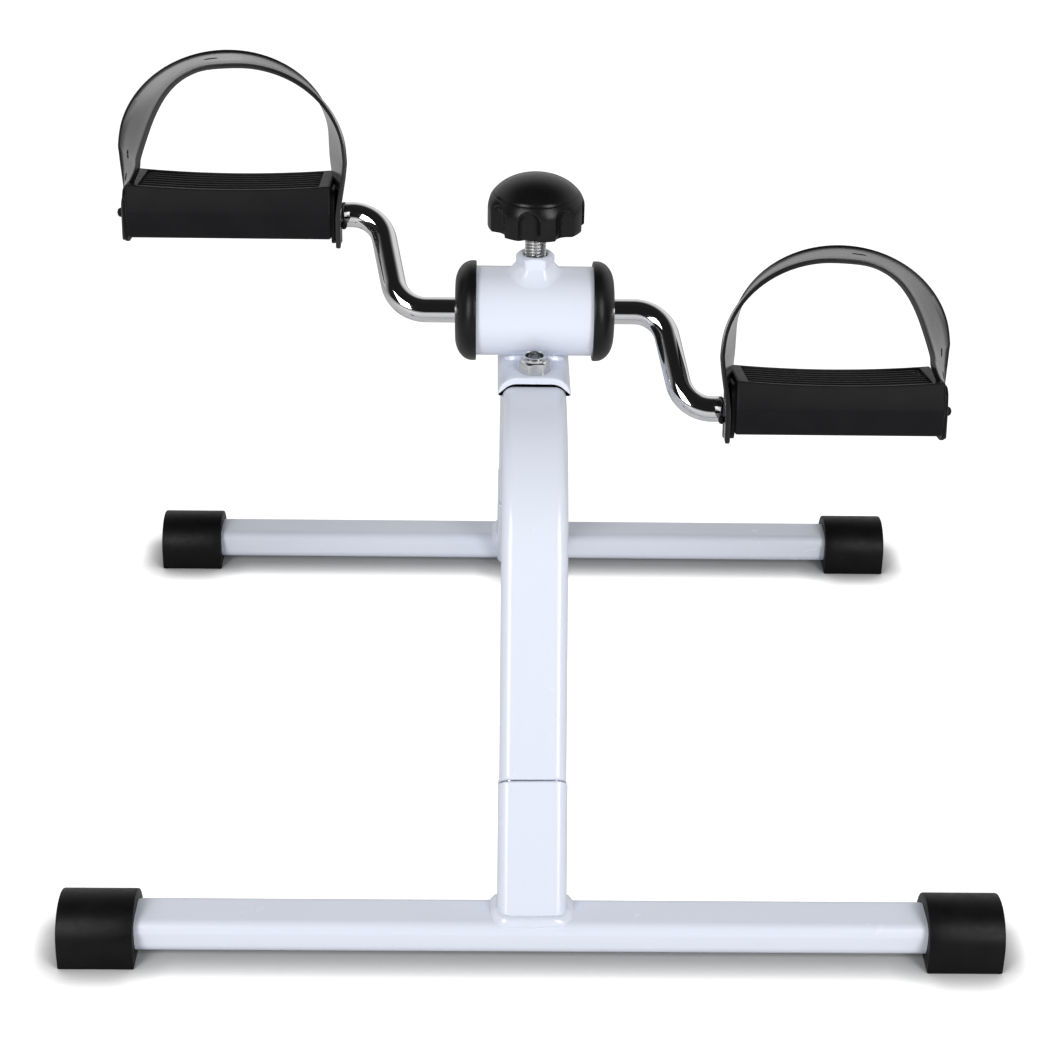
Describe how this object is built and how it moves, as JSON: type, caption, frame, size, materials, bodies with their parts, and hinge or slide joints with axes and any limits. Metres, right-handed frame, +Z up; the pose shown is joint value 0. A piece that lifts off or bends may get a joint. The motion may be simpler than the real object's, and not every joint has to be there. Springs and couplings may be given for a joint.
{
  "type": "pedal exerciser",
  "caption": "Floor-standing pedal exerciser: arched tube frame on two foot bars, friction hub with tension knob, bent crank and strapped pedals.",
  "frame": {"origin": "on the floor, at the middle of the four foot caps", "axes": "+X to the right along the foot tubes and the crank axle, +Y to the back, +Z up"},
  "size_m": [0.42, 0.396, 0.3446],
  "materials": {
    "frame_paint": "gloss white powder coat with a cool tint",
    "foot_rubber": "satin moulded rubber",
    "black_plastic": "satin moulded plastic",
    "knob_plastic": "semi-gloss moulded plastic",
    "pedal_plastic": "matt moulded plastic",
    "pedal_tread": "ribbed rubber",
    "strap_pvc": "smooth flexible vinyl",
    "chrome": "bright chrome plate",
    "screw_steel": "bright zinc-plated thread",
    "zinc": "bright zinc plate",
    "nylon": "natural nylon"
  },
  "bodies": {
    "frame": {"front_foot_tube": "frame_paint", "rear_foot_tube": "frame_paint", "front_stub_tube": "frame_paint", "rear_stub_tube": "frame_paint", "front_stub_weld": "frame_paint", "rear_stub_weld": "frame_paint", "arch_tube": "frame_paint", "front_joiner_sleeve": "zinc", "rear_joiner_sleeve": "zinc", "joint_screws": "zinc", "front_left_foot_cap": "foot_rubber", "front_right_foot_cap": "foot_rubber", "rear_left_foot_cap": "foot_rubber", "rear_right_foot_cap": "foot_rubber", "saddle_bracket": "frame_paint", "saddle_bolts": "zinc", "saddle_washers": "zinc", "saddle_nuts": "zinc", "hub_tube": "frame_paint", "hub_weld": "frame_paint", "tension_boss": "frame_paint", "boss_weld": "frame_paint", "left_hub_cap": "black_plastic", "right_hub_cap": "black_plastic", "left_bearing_bush": "nylon", "right_bearing_bush": "nylon", "lower_brake_block": "nylon"},
    "brake": {"brake_shoe": "nylon"},
    "tension": {"tension_screw": "screw_steel", "tension_knob": "knob_plastic"},
    "crank": {"crank_bar": "chrome", "left_spindle_washer": "zinc", "right_spindle_washer": "zinc", "left_spindle_clip": "zinc", "right_spindle_clip": "zinc"},
    "left_pedal": {"left_pedal_body": "pedal_plastic", "left_pedal_tread": "pedal_tread", "left_inboard_plate": "pedal_plastic", "left_outboard_plate": "pedal_plastic", "left_pedal_bushes": "nylon", "left_foot_strap": "strap_pvc"},
    "right_pedal": {"right_pedal_body": "pedal_plastic", "right_pedal_tread": "pedal_tread", "right_inboard_plate": "pedal_plastic", "right_outboard_plate": "pedal_plastic", "right_pedal_bushes": "nylon", "right_foot_strap": "strap_pvc"}
  },
  "joints": [
    {"name": "crank_spin", "type": "hinge", "parent": "frame", "child": "crank", "pos_m": [0, 0, 0.2333], "axis": [1, 0, 0], "continuous": true},
    {"name": "left_pedal_spin", "type": "hinge", "parent": "crank", "child": "left_pedal", "pos_m": [-0.142, 0.03459, 0.26729], "axis": [1, 0, 0], "continuous": true},
    {"name": "right_pedal_spin", "type": "hinge", "parent": "crank", "child": "right_pedal", "pos_m": [0.138, -0.03459, 0.19931], "axis": [1, 0, 0], "continuous": true},
    {"name": "brake_travel", "type": "slide", "parent": "frame", "child": "brake", "axis": [0, 0, 1], "range_m": [-0.00075, 0.0045]},
    {"name": "tension_turn", "type": "hinge", "parent": "brake", "child": "tension", "pos_m": [0, 0, 0.27], "axis": [0, 0, 1], "range_deg": [-180, 1080]}
  ],
  "couplings": [
    {"joint": "tension_turn", "follows": "brake_travel", "rad_per_m": 4188.8}
  ]
}
